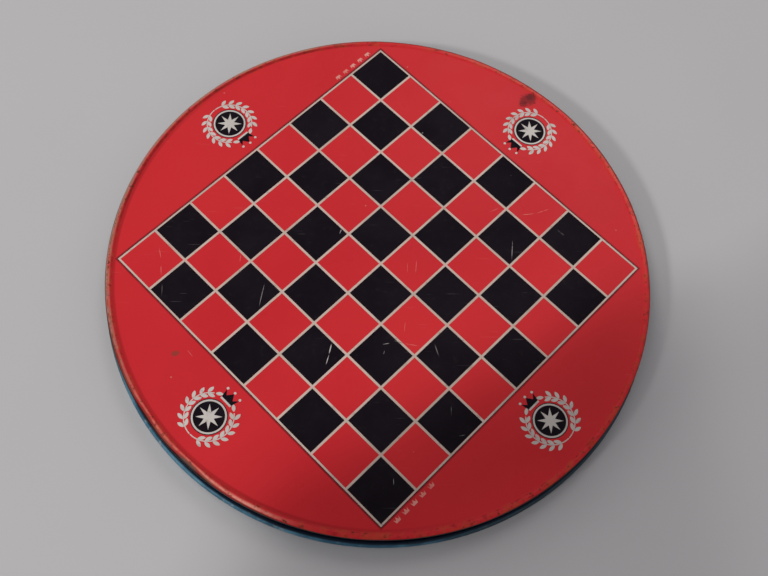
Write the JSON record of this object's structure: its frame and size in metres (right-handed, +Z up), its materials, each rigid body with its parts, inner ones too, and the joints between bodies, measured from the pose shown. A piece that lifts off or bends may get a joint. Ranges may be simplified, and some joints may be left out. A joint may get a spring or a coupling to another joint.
{
  "type": "chinese checkers board",
  "caption": "Round double-sided tin game board: a draughts field on the red panel on top, and a star-shaped marble field in the blue tray underneath.",
  "frame": {"origin": "centre of the ring that the board rests on, at the underside of the tray's curled rim", "axes": "+Z up, out of the draughts panel. The diagonals of the draughts field lie along X and Y, with a red corner square at +X and at -X, and two points of the star lie along +Y and -Y"},
  "size_m": [0.381, 0.381, 0.0191],
  "materials": {
    "red_enamel": "satin",
    "blue_enamel": "satin",
    "black_ink": "satin",
    "cream_ink": "satin",
    "faded_cream_ink": "satin",
    "blue_ink": "satin",
    "red_ink": "satin",
    "yellow_ink": "satin",
    "green_ink": "satin",
    "orange_ink": "satin"
  },
  "bodies": {
    "root": {"checker_panel": "red_enamel", "star_tray": "blue_enamel", "black_squares": "black_ink", "grid_lines": "cream_ink", "border_hairline": "black_ink", "king_row_marks": "faded_cream_ink", "badge_black": "black_ink", "badge_cream": "cream_ink", "star_hexagon": "cream_ink", "star_border": "black_ink", "star_tracks": "blue_ink", "star_point_red": "red_ink", "star_point_yellow": "yellow_ink", "star_point_green": "green_ink", "star_point_cream": "cream_ink", "star_point_black": "black_ink", "star_point_orange": "orange_ink"}
  },
  "joints": []
}
